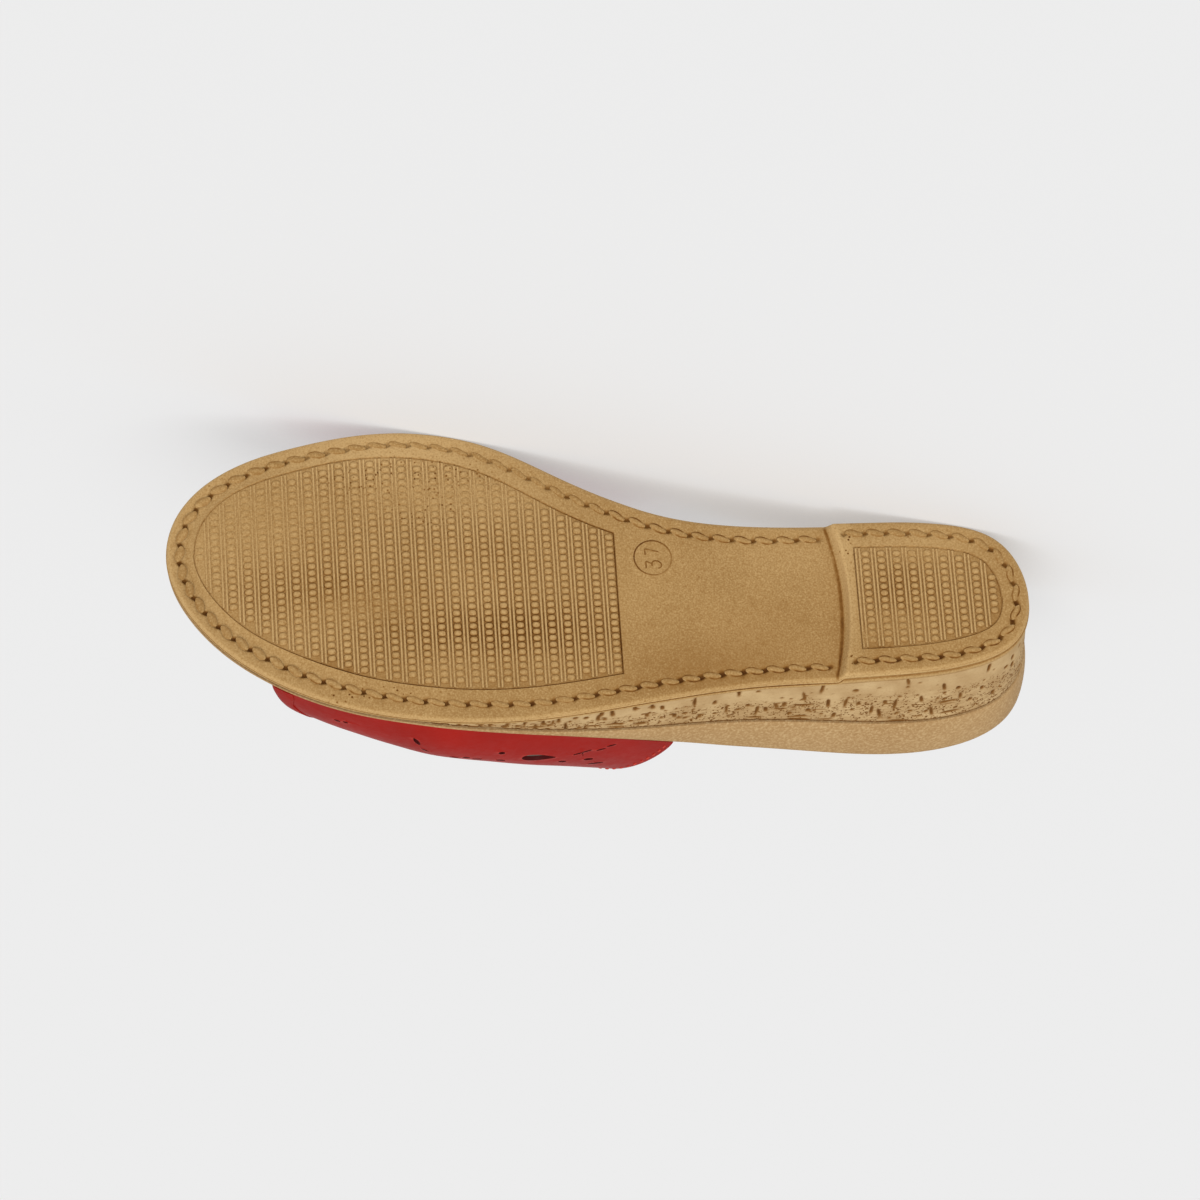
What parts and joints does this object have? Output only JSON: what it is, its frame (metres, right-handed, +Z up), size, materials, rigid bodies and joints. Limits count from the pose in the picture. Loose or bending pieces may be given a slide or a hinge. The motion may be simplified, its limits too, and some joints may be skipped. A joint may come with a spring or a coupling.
{
  "type": "slide sandal",
  "caption": "Right slide sandal lying on its side: wide punched red leather strap, cupped footbed, cork-effect wedge and stitched-look tread with a heel lift.",
  "frame": {"origin": "centre of the bounding box at the floor the shoe lies on", "axes": "+X towards the toe, +Z up, which is the shoe's lateral side, and -Y the way the tread faces"},
  "size_m": [0.2514, 0.07, 0.0909],
  "materials": {
    "outsole": "matt tan moulded rubber, rubbed lighter on raised parts",
    "midsole": "cork-effect foam, cream tan with brown pits",
    "footbed": "smooth tan foam rim",
    "insole": "tan lining leather",
    "upper": "red smooth leather, punched and stitched"
  },
  "bodies": {
    "root": {"outsole": "outsole", "midsole": "midsole", "footbed": "footbed", "insole": "insole", "upper": "upper"}
  },
  "joints": []
}
